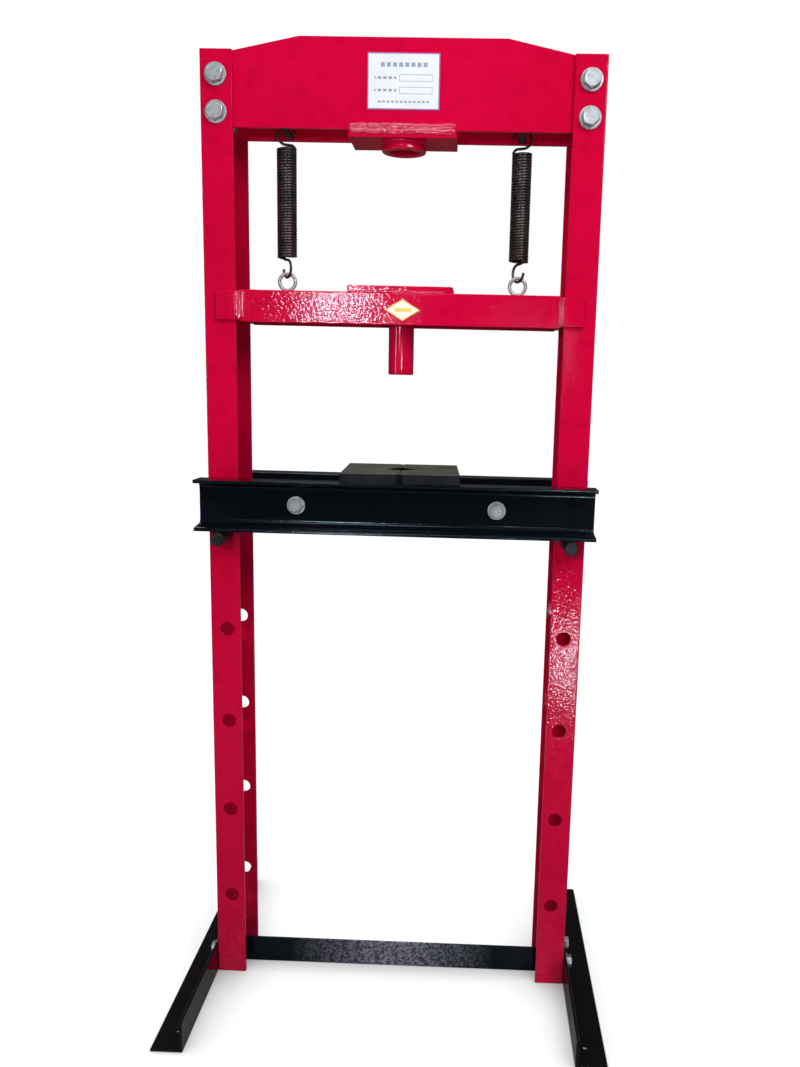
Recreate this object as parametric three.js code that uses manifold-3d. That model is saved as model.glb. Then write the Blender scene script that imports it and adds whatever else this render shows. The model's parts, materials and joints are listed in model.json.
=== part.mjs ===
// Hydraulic shop press with an H-shaped frame, in millimetres.
// +X is the operator's right, +Y the back, +Z up. The origin is on the floor, at the middle
// of the frame. The press is drawn without its bottle jack, with the bed pinned at its
// highest level and the ram beam pulled up by its two return springs.

import * as THREE from 'three';
import { mergeVertices } from 'three/addons/utils/BufferGeometryUtils.js';
import Module from 'manifold-3d';

const wasm = await Module();
wasm.setup();

// ---- Driving dimensions ----

const GAP = 0.3; // clearance left between pieces that touch

// Uprights: channels standing at each side with their open sides facing each other.
const FRAME_WIDTH = 600;
const UPRIGHT_HEIGHT = 1494;
const UPRIGHT = { depth: 100, flange: 48, web: 5, tip: 6.5, root: 6.5, fillet: 3, corner: 2 };
const PIN_HOLE = { radius: 11.5, x: 273.5, lowest: 145, pitch: 157, levels: 5 };

// Head: two plates bolted inside the uprights, with a thrust plate welded under them.
const HEAD_PLATE = { thickness: 8, halfLength: 291.5, bottom: 1387, top: 1515, flatHalf: 154 };
const HEAD_SLOPE = 0.212; // fall of the plate's top edge towards the uprights
const HEAD_BOLT = { radius: 8, holeRadius: 8.5, x: 276.5, levels: [1406.5, 1458.5] };
const THRUST_PLATE = { width: 162, thickness: 10 };
const SOCKET = { outer: 34, inner: 23, height: 13, rim: 5 };
const RATING_PLATE = { width: 107, height: 78.5, thickness: 0.8, x: 1, z: 1454.25 };

// Feet and base: two angles running front to back, and an angle across between the uprights.
const FOOT = { leg: 50, thickness: 5, length: 520 };
const FOOT_BOLT = { radius: 6, holeRadius: 6.5, y: 28, z: 30 };
const FOOT_ANCHOR = { radius: 4.5, inset: 45, fromWeb: 20 };
const BASE_BAR = { leg: 45, thickness: 5, front: -16 };
const BASE_PLATE = { thickness: 4.7, depth: 80, bottom: 5, top: 50 };

// Bed: two channels outside the uprights, resting on the support pins.
const BED_LENGTH = 625;
const BED_BOTTOM = 783.1;
const BED = { depth: 80, flange: 43, web: 5, tip: 5.5, root: 8, fillet: 7.5, corner: 1 };
const BED_INNER_FACE = 51;
const BED_BOLT = { radius: 6, holeRadius: 6.5, x: 158.5 };
const SPACER = { outer: 10, inner: 6.5 };
const PIN = { radius: 10.5, length: 210, chamfer: 1.5 };

// Press plates: two blocks lying on the bed, side by side and turned a little.
const PRESS_PLATE = { width: 92.4, depth: 190, thickness: 16, notch: 26.5, chamfer: 5.5 };
const PRESS_PLATES_AT = { x: 3.5, y: 3, turn: THREE.MathUtils.degToRad(2.5) };

// Ram beam: a channel with its web on top, guided by tabs that straddle the uprights.
const BEAM_TOP = 1153;
const BEAM_LENGTH = 491;
const BEAM = { depth: 100, flange: 48, web: 5.3, tip: 7, root: 7, fillet: 4, corner: 2 };
const BEAM_END = { inner: 245.8, outer: 251, depth: 110, bottom: 1107, top: 1151 };
const GUIDE_TAB = { inner: 251.3, outer: 281, near: 51, far: 57, bottom: 1107, top: 1150 };
const JACK_PLATE = { width: 162, depth: 88, thickness: 10, chamfer: 5 };
const RAM = { radius: 20, bottom: 1030, chamfer: 1.5 };
const DIAMOND_PLATE = { width: 55, height: 33.5, thickness: 0.5, x: 5, z: 1127 };

// Return springs: each hangs from a rod between the head plates and pulls on an eye bolt.
const SPRING_X = 181;
const SPRING = { bottom: 1204.5, top: 1369, meanRadius: 13.4, wireRadius: 2.1 };
const UPPER_HOOK = { z: 1386.7, headings: { left: 180, right: 0 } };
const LOWER_HOOK = { z: 1189.9, headings: { left: -55, right: 125 } };
const ANCHOR_ROD = { radius: 5, z: 1392.6 };
const EYE = { z: 1169.4, ringRadius: 12.5, wireRadius: 2.75, shankRadius: 4, shankEnd: 1137.5 };
const EYE_HOLE_RADIUS = 4.5;

const HEX = {
  m16: { flats: 24, head: 10, nut: 13, washerRadius: 16.5, washer: 3 },
  m12: { flats: 19, head: 8, nut: 10, washerRadius: 14.5, washer: 2.5 },
  m8: { flats: 13, nut: 6.5 },
};

// ---- Finishes ----

const FINISH = {
  redPaint: { color: 0xc3052f, roughness: 0.3, metalness: 0.1 },
  blackPaint: { color: 0x14161c, roughness: 0.3, metalness: 0.1 },
  zinc: { color: 0xc9ccd0, roughness: 0.3, metalness: 0.95 },
  springSteel: { color: 0x1c1b1b, roughness: 0.42, metalness: 0.7 },
  plateSteel: { color: 0x464c3f, roughness: 0.55, metalness: 0.45 },
  darkSteel: { color: 0x26272b, roughness: 0.4, metalness: 0.75 },
  label: { color: 0xf2f2f0, roughness: 0.5, metalness: 0 },
  yellowLabel: { color: 0xf0c419, roughness: 0.45, metalness: 0 },
};

// ---- Directions and helpers ----

const X = new THREE.Vector3(1, 0, 0);
const Y = new THREE.Vector3(0, 1, 0);
const Z = new THREE.Vector3(0, 0, 1);
const SIDES = { left: -1, right: 1 };
const ENDS = { front: -1, rear: 1 };

function along(axis, sign) {
  return axis.clone().multiplyScalar(sign);
}

function toSolid(geometry) {
  const bare = geometry.clone();
  bare.deleteAttribute('normal');
  bare.deleteAttribute('uv');
  const welded = mergeVertices(bare);
  return new wasm.Manifold(new wasm.Mesh({
    numProp: 3,
    vertProperties: new Float32Array(welded.attributes.position.array),
    triVerts: new Uint32Array(welded.index.array),
  }));
}

function fromSolid(solid) {
  const mesh = solid.getMesh();
  const geometry = new THREE.BufferGeometry();
  geometry.setAttribute('position', new THREE.BufferAttribute(mesh.vertProperties, 3));
  geometry.setIndex(new THREE.BufferAttribute(mesh.triVerts, 1));
  geometry.computeVertexNormals();
  return geometry;
}

function cut(geometry, cutters) {
  const remove = (solid, cutter) => solid.subtract(toSolid(cutter));
  return fromSolid(cutters.reduce(remove, toSolid(geometry)));
}

function join(geometries) {
  const [first, ...rest] = geometries.map(toSolid);
  return fromSolid(rest.reduce((solid, other) => solid.add(other), first));
}

function box(width, depth, height) {
  return new THREE.BoxGeometry(width, depth, height);
}

// A cylinder centred on the origin with its axis along the given direction.
function cylinder(radius, length, axis, segments = 20) {
  const geometry = new THREE.CylinderGeometry(radius, radius, length, segments);
  return geometry.applyQuaternion(new THREE.Quaternion().setFromUnitVectors(Y, axis));
}

// A cutter whose flat facets lie at the hole's radius, so that the hole is never too tight.
function drill(radius, length, axis, x, y, z, segments = 12) {
  const outerRadius = radius / Math.cos(Math.PI / segments);
  return cylinder(outerRadius, length, axis, segments).translate(x, y, z);
}

// Extrudes a flat shape, centred, with its x and y drawn along the two given directions.
function extrude(shape, length, xAxis, yAxis) {
  const options = { depth: length, bevelEnabled: false, curveSegments: 4 };
  const geometry = new THREE.ExtrudeGeometry(shape, options);
  geometry.translate(0, 0, -length / 2);
  const zAxis = new THREE.Vector3().crossVectors(xAxis, yAxis);
  return geometry.applyMatrix4(new THREE.Matrix4().makeBasis(xAxis, yAxis, zAxis));
}

function polygon(points) {
  return new THREE.Shape(points.map(([x, y]) => new THREE.Vector2(x, y)));
}

// Turns a closed profile of [radius, height] points about Z. It runs anticlockwise.
function turned(points, segments = 24) {
  const profile = points.map(([radius, height]) => new THREE.Vector2(radius, height));
  return new THREE.LatheGeometry(profile, segments).rotateX(Math.PI / 2);
}

function tube(outer, inner, length, segments = 20) {
  const half = length / 2;
  return turned([[inner, -half], [outer, -half], [outer, half], [inner, half], [inner, -half]],
    segments);
}

// The section of a rolled channel: the back of the web lies on y = 0, centred on x = 0, and
// the flanges run to y = flange, getting thicker from tip to root.
function channelShape({ depth, flange, web, tip, root, fillet, corner }) {
  const half = depth / 2;
  const slope = (root - tip) / (flange - web);
  const atFillet = root - slope * fillet;
  const shape = new THREE.Shape();
  shape.moveTo(-half + corner, 0);
  shape.quadraticCurveTo(-half, 0, -half, corner);
  shape.lineTo(-half, flange);
  shape.lineTo(-half + tip, flange);
  shape.lineTo(-half + atFillet, web + fillet);
  shape.quadraticCurveTo(-half + root, web, -half + root + fillet, web);
  shape.lineTo(half - root - fillet, web);
  shape.quadraticCurveTo(half - root, web, half - atFillet, web + fillet);
  shape.lineTo(half - tip, flange);
  shape.lineTo(half, flange);
  shape.lineTo(half, corner);
  shape.quadraticCurveTo(half, 0, half - corner, 0);
  return shape;
}

// An angle section: legs along +x and +y from a square outer corner at the origin.
function angleShape(leg, thickness) {
  return polygon([[0, 0], [leg, 0], [leg, thickness], [thickness, thickness],
    [thickness, leg], [0, leg]]);
}

function hexagon(flats, height) {
  return cylinder(flats / Math.sqrt(3), height, Z, 6);
}

// A bolt pointing down -Z, with the underside of its washer on z = 0.
function boltGeometry({ flats, head, washerRadius, washer }, radius, length) {
  return join([
    cylinder(washerRadius, washer, Z, 18).translate(0, 0, washer / 2),
    hexagon(flats, head + washer / 2).translate(0, 0, washer / 2 + (head + washer / 2) / 2),
    cylinder(radius, length + washer / 2, Z, 12).translate(0, 0, (washer / 2 - length) / 2),
  ]);
}

// A nut standing on z = 0, bored clear of the thread.
function nutGeometry({ flats, nut }, radius) {
  const bore = drill(radius + GAP, nut + 2, Z, 0, 0, nut / 2);
  return cut(hexagon(flats, nut).translate(0, 0, nut / 2), [bore]);
}

function add(group, name, geometry, finish, position = [0, 0, 0]) {
  const mesh = new THREE.Mesh(geometry, new THREE.MeshStandardMaterial(finish));
  mesh.name = name;
  mesh.position.set(...position);
  group.add(mesh);
  return mesh;
}

// Adds a piece drawn along +Z, turned so that it points along the given direction.
function addAimed(group, name, geometry, finish, position, direction) {
  const mesh = add(group, name, geometry, finish, position);
  mesh.quaternion.setFromUnitVectors(Z, direction);
}

// ---- Frame ----

function uprightGeometry(side) {
  const channel = extrude(channelShape(UPRIGHT), UPRIGHT_HEIGHT, Y, along(X, -side));
  channel.translate(side * FRAME_WIDTH / 2, 0, UPRIGHT_HEIGHT / 2);
  const reach = UPRIGHT.depth + 2;
  const cutters = [];
  for (let level = 0; level < PIN_HOLE.levels; level += 1) {
    const z = PIN_HOLE.lowest + level * PIN_HOLE.pitch;
    cutters.push(drill(PIN_HOLE.radius, reach, Y, side * PIN_HOLE.x, 0, z, 16));
  }
  for (const z of HEAD_BOLT.levels) {
    cutters.push(drill(HEAD_BOLT.holeRadius, reach, Y, side * HEAD_BOLT.x, 0, z));
  }
  const webMiddle = side * (FRAME_WIDTH - UPRIGHT.web) / 2;
  for (const end of Object.values(ENDS)) {
    const y = end * FOOT_BOLT.y;
    cutters.push(drill(FOOT_BOLT.holeRadius, 2 * UPRIGHT.web, X, webMiddle, y, FOOT_BOLT.z));
  }
  return cut(channel, cutters);
}

function headPlateGeometry() {
  const { thickness, halfLength, bottom, top, flatHalf } = HEAD_PLATE;
  const shoulder = top - HEAD_SLOPE * (halfLength - flatHalf);
  const outline = polygon([[-halfLength, bottom], [halfLength, bottom], [halfLength, shoulder],
    [flatHalf, top], [-flatHalf, top], [-halfLength, shoulder]]);
  const cutters = [];
  for (const side of Object.values(SIDES)) {
    for (const z of HEAD_BOLT.levels) {
      cutters.push(drill(HEAD_BOLT.holeRadius, 2 * thickness, Y, side * HEAD_BOLT.x, 0, z));
    }
  }
  return cut(extrude(outline, thickness, X, Z), cutters);
}

function socketGeometry() {
  const { outer, inner, height, rim } = SOCKET;
  const points = [[inner, 0], [outer - rim, 0]];
  for (const turn of [30, 60, 90]) {
    const angle = THREE.MathUtils.degToRad(turn);
    points.push([outer - rim + rim * Math.sin(angle), rim - rim * Math.cos(angle)]);
  }
  points.push([outer, height], [inner, height], [inner, 0]);
  return turned(points);
}

function footGeometry(side) {
  const section = angleShape(FOOT.leg, FOOT.thickness);
  const angle = extrude(section, FOOT.length, along(X, side), Z);
  angle.translate(side * (FRAME_WIDTH / 2 + GAP), 0, 0);
  const webMiddle = side * (FRAME_WIDTH + FOOT.thickness) / 2;
  const anchorX = side * (FRAME_WIDTH / 2 + FOOT_ANCHOR.fromWeb);
  const cutters = [];
  for (const end of Object.values(ENDS)) {
    const anchorY = end * (FOOT.length / 2 - FOOT_ANCHOR.inset);
    cutters.push(drill(FOOT_BOLT.holeRadius, 3 * FOOT.thickness, X, webMiddle,
      end * FOOT_BOLT.y, FOOT_BOLT.z));
    cutters.push(drill(FOOT_ANCHOR.radius, 3 * FOOT.thickness, Z, anchorX, anchorY, 0));
  }
  return cut(angle, cutters);
}

// The crossbar's angle with a plate welded on each end for the foot bolts.
function baseBarGeometry() {
  const { thickness, depth, bottom, top } = BASE_PLATE;
  const inner = FRAME_WIDTH / 2 - UPRIGHT.web - GAP - thickness;
  const bar = extrude(angleShape(BASE_BAR.leg, BASE_BAR.thickness), 2 * inner + 1, Y, Z);
  bar.translate(0, BASE_BAR.front, 0);
  const pieces = [bar];
  const cutters = [];
  for (const side of Object.values(SIDES)) {
    const x = side * (inner + thickness / 2);
    pieces.push(box(thickness, depth, top - bottom).translate(x, 0, (top + bottom) / 2));
    for (const end of Object.values(ENDS)) {
      cutters.push(drill(FOOT_BOLT.holeRadius, 3 * thickness, X, x,
        end * FOOT_BOLT.y, FOOT_BOLT.z));
    }
  }
  return cut(join(pieces), cutters);
}

// A foot bolt with its nut run up against the crossbar's end plate.
function footBoltGeometry() {
  const grip = GAP + FOOT.thickness + GAP + UPRIGHT.web + GAP + BASE_PLATE.thickness + GAP;
  const { flats, nut } = HEX.m12;
  const nutCentre = -grip - nut / 2;
  return join([
    boltGeometry(HEX.m12, FOOT_BOLT.radius, grip + nut + 3),
    hexagon(flats, nut).translate(0, 0, nutCentre),
  ]);
}

function addHead(group) {
  const outerFace = UPRIGHT.depth / 2 - UPRIGHT.tip - GAP;
  const innerFace = outerFace - HEAD_PLATE.thickness;
  const grip = UPRIGHT.depth / 2 - innerFace + 2 * GAP;
  const bolt = boltGeometry(HEX.m16, HEAD_BOLT.radius, grip + HEX.m16.nut + 3);
  const nut = nutGeometry(HEX.m16, HEAD_BOLT.radius);
  for (const [endName, end] of Object.entries(ENDS)) {
    const plateY = end * (outerFace + innerFace) / 2;
    const outward = along(Y, end);
    const inward = along(Y, -end);
    add(group, `${endName}_head_plate`, headPlateGeometry(), FINISH.redPaint, [0, plateY, 0]);
    for (const [sideName, side] of Object.entries(SIDES)) {
      for (const [level, z] of HEAD_BOLT.levels.entries()) {
        const corner = `${endName}_${sideName}_${['lower', 'upper'][level]}`;
        const boltAt = [side * HEAD_BOLT.x, end * (UPRIGHT.depth / 2 + GAP), z];
        const nutAt = [side * HEAD_BOLT.x, end * (innerFace - GAP), z];
        addAimed(group, `head_bolt_${corner}`, bolt, FINISH.zinc, boltAt, outward);
        addAimed(group, `head_nut_${corner}`, nut, FINISH.zinc, nutAt, inward);
      }
    }
  }
  const thrustZ = HEAD_PLATE.bottom - GAP - THRUST_PLATE.thickness / 2;
  const socketZ = thrustZ - THRUST_PLATE.thickness / 2 - GAP - SOCKET.height;
  const thrust = box(THRUST_PLATE.width, 2 * outerFace, THRUST_PLATE.thickness);
  add(group, 'thrust_plate', thrust, FINISH.redPaint, [0, 0, thrustZ]);
  add(group, 'jack_socket', socketGeometry(), FINISH.redPaint, [0, 0, socketZ]);
  for (const [sideName, side] of Object.entries(SIDES)) {
    const rod = cylinder(ANCHOR_ROD.radius, 2 * (innerFace - GAP), Y);
    const rodAt = [side * SPRING_X, 0, ANCHOR_ROD.z];
    add(group, `${sideName}_spring_rod`, rod, FINISH.darkSteel, rodAt);
  }
  const { width, height, thickness, x, z } = RATING_PLATE;
  const labelY = -outerFace - GAP - thickness / 2;
  add(group, 'rating_plate', box(width, thickness, height), FINISH.label, [x, labelY, z]);
}

function addBase(group) {
  const boltX = FRAME_WIDTH / 2 + GAP + FOOT.thickness + GAP;
  for (const [sideName, side] of Object.entries(SIDES)) {
    add(group, `${sideName}_foot`, footGeometry(side), FINISH.blackPaint);
    for (const [endName, end] of Object.entries(ENDS)) {
      const at = [side * boltX, end * FOOT_BOLT.y, FOOT_BOLT.z];
      addAimed(group, `foot_bolt_${sideName}_${endName}`, footBoltGeometry(), FINISH.zinc, at,
        along(X, side));
    }
  }
  add(group, 'base_crossbar', baseBarGeometry(), FINISH.blackPaint);
}

function buildFrame() {
  const frame = new THREE.Group();
  for (const [sideName, side] of Object.entries(SIDES)) {
    add(frame, `${sideName}_upright`, uprightGeometry(side), FINISH.redPaint);
  }
  addHead(frame);
  addBase(frame);
  return frame;
}

// ---- Bed ----

function bedChannelGeometry(end) {
  const channel = extrude(channelShape(BED), BED_LENGTH, Z, along(Y, end));
  const cutters = Object.values(SIDES).map((side) => drill(BED_BOLT.holeRadius, 4 * BED.web, Y,
    side * BED_BOLT.x, 0, 0));
  return cut(channel, cutters);
}

function pinGeometry() {
  const { radius, length, chamfer } = PIN;
  const half = length / 2;
  const pin = turned([[0, -half], [radius - chamfer, -half], [radius, -half + chamfer],
    [radius, half - chamfer], [radius - chamfer, half], [0, half]]);
  return pin.rotateX(Math.PI / 2);
}

// Half of the pair, on the side of the joint given: its V notch faces the joint.
function pressPlateGeometry(side) {
  const { width, depth, thickness, notch, chamfer } = PRESS_PLATE;
  const near = GAP / 2;
  const far = near + width;
  const half = depth / 2;
  const outline = [[near + chamfer, -half], [far, -half], [far, half], [near + chamfer, half],
    [near, half - chamfer], [near, notch - near], [notch, 0], [near, near - notch],
    [near, chamfer - half]];
  return extrude(polygon(outline), thickness, along(X, side), Y);
}

function buildBed() {
  const bed = new THREE.Group();
  bed.position.z = BED_BOTTOM + BED.depth / 2;
  const webFace = BED_INNER_FACE + BED.web + GAP;
  const spacer = tube(SPACER.outer, SPACER.inner, 2 * (BED_INNER_FACE - GAP));
  const bolt = boltGeometry(HEX.m12, BED_BOLT.radius, 2 * webFace + HEX.m12.nut + 3);
  const nut = nutGeometry(HEX.m12, BED_BOLT.radius);
  for (const [endName, end] of Object.entries(ENDS)) {
    const at = [0, end * BED_INNER_FACE, 0];
    add(bed, `${endName}_bed_channel`, bedChannelGeometry(end), FINISH.blackPaint, at);
  }
  for (const [sideName, side] of Object.entries(SIDES)) {
    const x = side * BED_BOLT.x;
    addAimed(bed, `${sideName}_bed_spacer`, spacer, FINISH.blackPaint, [x, 0, 0], Y);
    addAimed(bed, `${sideName}_bed_bolt`, bolt, FINISH.zinc, [x, -webFace, 0], along(Y, -1));
    addAimed(bed, `${sideName}_bed_nut`, nut, FINISH.zinc, [x, webFace, 0], Y);
  }
  const plates = new THREE.Group();
  const plateZ = BED.depth / 2 + GAP + PRESS_PLATE.thickness / 2;
  plates.position.set(PRESS_PLATES_AT.x, PRESS_PLATES_AT.y, plateZ);
  plates.rotation.z = PRESS_PLATES_AT.turn;
  for (const [sideName, side] of Object.entries(SIDES)) {
    add(plates, `${sideName}_press_plate`, pressPlateGeometry(side), FINISH.plateSteel);
  }
  bed.add(plates);
  return bed;
}

function buildPins() {
  const pins = new THREE.Group();
  pins.position.z = BED_BOTTOM - GAP - PIN.radius;
  for (const [sideName, side] of Object.entries(SIDES)) {
    const at = [side * PIN_HOLE.x, 0, 0];
    add(pins, `${sideName}_support_pin`, pinGeometry(), FINISH.darkSteel, at);
  }
  return pins;
}

// ---- Ram beam ----

function beamGeometry() {
  const channel = extrude(channelShape(BEAM), BEAM_LENGTH, Y, along(Z, -1));
  const cutters = Object.values(SIDES).map((side) => drill(EYE_HOLE_RADIUS, 4 * BEAM.web, Z,
    side * SPRING_X, 0, 0));
  return cut(channel, cutters);
}

// The plate that the jack stands on, clipped at its two right-hand corners.
function jackPlateGeometry() {
  const { width, depth, thickness, chamfer } = JACK_PLATE;
  const right = width / 2;
  const back = depth / 2;
  const outline = polygon([[-right, -back], [right - chamfer, -back], [right, chamfer - back],
    [right, back - chamfer], [right - chamfer, back], [-right, back]]);
  return extrude(outline, thickness, X, Y);
}

function ramGeometry() {
  const top = BEAM_TOP - BEAM.web - GAP;
  const { radius, bottom, chamfer } = RAM;
  return turned([[0, bottom], [radius - chamfer, bottom], [radius, bottom + chamfer],
    [radius, top], [0, top]]);
}

function eyeBoltGeometry() {
  const { z, ringRadius, wireRadius, shankRadius, shankEnd } = EYE;
  const shankTop = z - ringRadius;
  const ring = new THREE.TorusGeometry(ringRadius, wireRadius, 8, 20).rotateX(Math.PI / 2);
  const shank = cylinder(shankRadius, shankTop - shankEnd, Z, 10);
  return join([
    ring.translate(0, 0, z),
    shank.translate(0, 0, (shankTop + shankEnd) / 2),
  ]);
}

function buildRamBeam() {
  const beam = new THREE.Group();
  add(beam, 'ram_beam_channel', beamGeometry(), FINISH.redPaint, [0, 0, BEAM_TOP]);
  const jackPlateZ = BEAM_TOP + GAP + JACK_PLATE.thickness / 2;
  add(beam, 'jack_base_plate', jackPlateGeometry(), FINISH.redPaint, [0, 0, jackPlateZ]);
  add(beam, 'ram', ramGeometry(), FINISH.redPaint);
  const nut = nutGeometry(HEX.m8, EYE.shankRadius);
  const tabWidth = GUIDE_TAB.outer - GUIDE_TAB.inner;
  const tabDepth = GUIDE_TAB.far - GUIDE_TAB.near;
  for (const [sideName, side] of Object.entries(SIDES)) {
    const endHeight = BEAM_END.top - BEAM_END.bottom;
    const endPlate = box(BEAM_END.outer - BEAM_END.inner, BEAM_END.depth, endHeight);
    const endAt = [side * (BEAM_END.outer + BEAM_END.inner) / 2, 0, BEAM_END.bottom + endHeight / 2];
    add(beam, `${sideName}_beam_end_plate`, endPlate, FINISH.redPaint, endAt);
    for (const [endName, end] of Object.entries(ENDS)) {
      const tabHeight = GUIDE_TAB.top - GUIDE_TAB.bottom;
      const tabAt = [side * (GUIDE_TAB.inner + tabWidth / 2), end * (GUIDE_TAB.near + tabDepth / 2),
        GUIDE_TAB.bottom + tabHeight / 2];
      add(beam, `guide_tab_${endName}_${sideName}`, box(tabWidth, tabDepth, tabHeight),
        FINISH.redPaint, tabAt);
    }
    const eyeAt = [side * SPRING_X, 0, 0];
    const nutAt = [side * SPRING_X, 0, BEAM_TOP - BEAM.web - GAP];
    add(beam, `${sideName}_eye_bolt`, eyeBoltGeometry(), FINISH.zinc, eyeAt);
    addAimed(beam, `${sideName}_eye_nut`, nut, FINISH.zinc, nutAt, along(Z, -1));
  }
  const { width, height, thickness, x, z } = DIAMOND_PLATE;
  const diamond = polygon([[-width / 2, 0], [0, -height / 2], [width / 2, 0], [0, height / 2]]);
  const diamondY = -BEAM.depth / 2 - GAP - thickness / 2;
  add(beam, 'diamond_plate', extrude(diamond, thickness, X, Z), FINISH.yellowLabel,
    [x, diamondY, z]);
  return beam;
}

// ---- Return springs ----

// A hook bent from the last coil: it crosses the end of the spring in the heading's direction
// and goes three quarters of the way round. bodySide is +1 where the spring is above the hook.
function hookGeometry(z, heading, bodySide) {
  const { meanRadius, wireRadius } = SPRING;
  const direction = X.clone().applyAxisAngle(Z, THREE.MathUtils.degToRad(heading));
  const point = (outward, towardsBody) => along(direction, outward)
    .add(along(Z, z + bodySide * towardsBody));
  const points = [point(-meanRadius, meanRadius + 4), point(-meanRadius / 2, meanRadius + 0.6)];
  for (let turn = 0; turn <= 270; turn += 30) {
    const angle = THREE.MathUtils.degToRad(turn);
    points.push(point(meanRadius * Math.sin(angle), meanRadius * Math.cos(angle)));
  }
  const wire = new THREE.Shape().absarc(0, 0, wireRadius, 0, 2 * Math.PI);
  const extrudePath = new THREE.CatmullRomCurve3(points);
  return new THREE.ExtrudeGeometry(wire, { steps: 18, curveSegments: 3, extrudePath });
}

// The close-wound body is drawn as the tube that its coils fill.
function springGeometry(sideName) {
  const { bottom, top, meanRadius, wireRadius } = SPRING;
  const coils = tube(meanRadius + wireRadius, meanRadius - wireRadius, top - bottom);
  return join([
    coils.translate(0, 0, (top + bottom) / 2),
    hookGeometry(UPPER_HOOK.z, UPPER_HOOK.headings[sideName], -1),
    hookGeometry(LOWER_HOOK.z, LOWER_HOOK.headings[sideName], 1),
  ]);
}

function buildSprings() {
  const springs = new THREE.Group();
  for (const [sideName, side] of Object.entries(SIDES)) {
    const at = [side * SPRING_X, 0, 0];
    add(springs, `${sideName}_return_spring`, springGeometry(sideName), FINISH.springSteel, at);
  }
  return springs;
}

// ---- Assembly ----

const press = new THREE.Group();
press.add(buildFrame(), buildBed(), buildPins(), buildRamBeam(), buildSprings());

export default press;
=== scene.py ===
import json
import math
import random

import bmesh
import bpy
from mathutils import Matrix, Vector, noise


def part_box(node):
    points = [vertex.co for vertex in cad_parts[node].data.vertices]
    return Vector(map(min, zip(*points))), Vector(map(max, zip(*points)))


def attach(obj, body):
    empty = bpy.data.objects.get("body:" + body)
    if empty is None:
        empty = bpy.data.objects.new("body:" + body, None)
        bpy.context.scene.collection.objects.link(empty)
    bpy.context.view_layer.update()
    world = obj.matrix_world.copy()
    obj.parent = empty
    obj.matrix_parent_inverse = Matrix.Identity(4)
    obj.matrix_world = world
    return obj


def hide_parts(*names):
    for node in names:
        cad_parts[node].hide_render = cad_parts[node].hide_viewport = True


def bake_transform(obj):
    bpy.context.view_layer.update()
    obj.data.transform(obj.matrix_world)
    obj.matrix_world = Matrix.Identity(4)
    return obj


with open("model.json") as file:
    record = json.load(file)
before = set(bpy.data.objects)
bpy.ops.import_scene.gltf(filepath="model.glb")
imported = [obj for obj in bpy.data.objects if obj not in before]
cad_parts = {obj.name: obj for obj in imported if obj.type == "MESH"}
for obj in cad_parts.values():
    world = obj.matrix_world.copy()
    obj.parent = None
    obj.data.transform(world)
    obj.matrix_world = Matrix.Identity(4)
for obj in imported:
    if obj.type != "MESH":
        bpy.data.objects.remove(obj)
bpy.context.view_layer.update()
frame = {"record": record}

# A hydraulic shop press. Everything is in metres, in the CAD frame: +X is the operator's
# right, +Y the back and +Z up. Places come from the CAD nodes' boxes.

MM = 0.001
X, Y, Z = Vector((1, 0, 0)), Vector((0, 1, 0)), Vector((0, 0, 1))
SIDES = {"left": -1, "right": 1}
ENDS = {"front": -1, "rear": 1}
LEVELS = ("lower", "upper")
random.seed(20)


# ---- Camera, light and floor ----

CAMERA_AT = Vector((0.1183, -1.5526, 1.0212))
CAMERA_PITCH, CAMERA_YAW, CAMERA_ROLL = 0.1817, -0.027, 0.0237
FOCAL_SHARE = 0.8965          # focal length over the image's long side
CAMERA_SHIFT = (-0.0415, 0.0223)
FLOOR_RADIUS = 16
FLOOR_DROP = 0.4 * MM         # keeps the floor clear of the feet


def add_camera():
    """The camera fitted to the photograph's straight edges, with its small roll."""
    data = bpy.data.cameras.new("camera")
    data.sensor_width = 36
    data.lens = FOCAL_SHARE * data.sensor_width
    data.shift_x, data.shift_y = CAMERA_SHIFT
    data.clip_start, data.clip_end = 0.05, 60
    camera = bpy.data.objects.new("camera", data)
    bpy.context.scene.collection.objects.link(camera)
    forward = Vector((math.sin(CAMERA_YAW) * math.cos(CAMERA_PITCH),
                      math.cos(CAMERA_YAW) * math.cos(CAMERA_PITCH), -math.sin(CAMERA_PITCH)))
    level = forward.cross(Z).normalized()
    upright = level.cross(forward)
    c, s = math.cos(CAMERA_ROLL), math.sin(CAMERA_ROLL)
    right, up = c * level + s * upright, -s * level + c * upright
    turn = Matrix((right, up, -forward)).transposed().to_4x4()
    camera.matrix_world = Matrix.Translation(CAMERA_AT) @ turn
    bpy.context.scene.camera = camera


def add_light(name, at, target, size, watts, colour=(1, 1, 1)):
    data = bpy.data.lights.new(name, "AREA")
    data.shape = "RECTANGLE"
    data.size, data.size_y = size
    data.energy = watts
    data.color = colour
    light = bpy.data.objects.new(name, data)
    bpy.context.scene.collection.objects.link(light)
    aim = (Vector(target) - Vector(at)).to_track_quat("-Z", "Y")
    light.matrix_world = Matrix.Translation(at) @ aim.to_matrix().to_4x4()
    light.visible_camera = False


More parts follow.
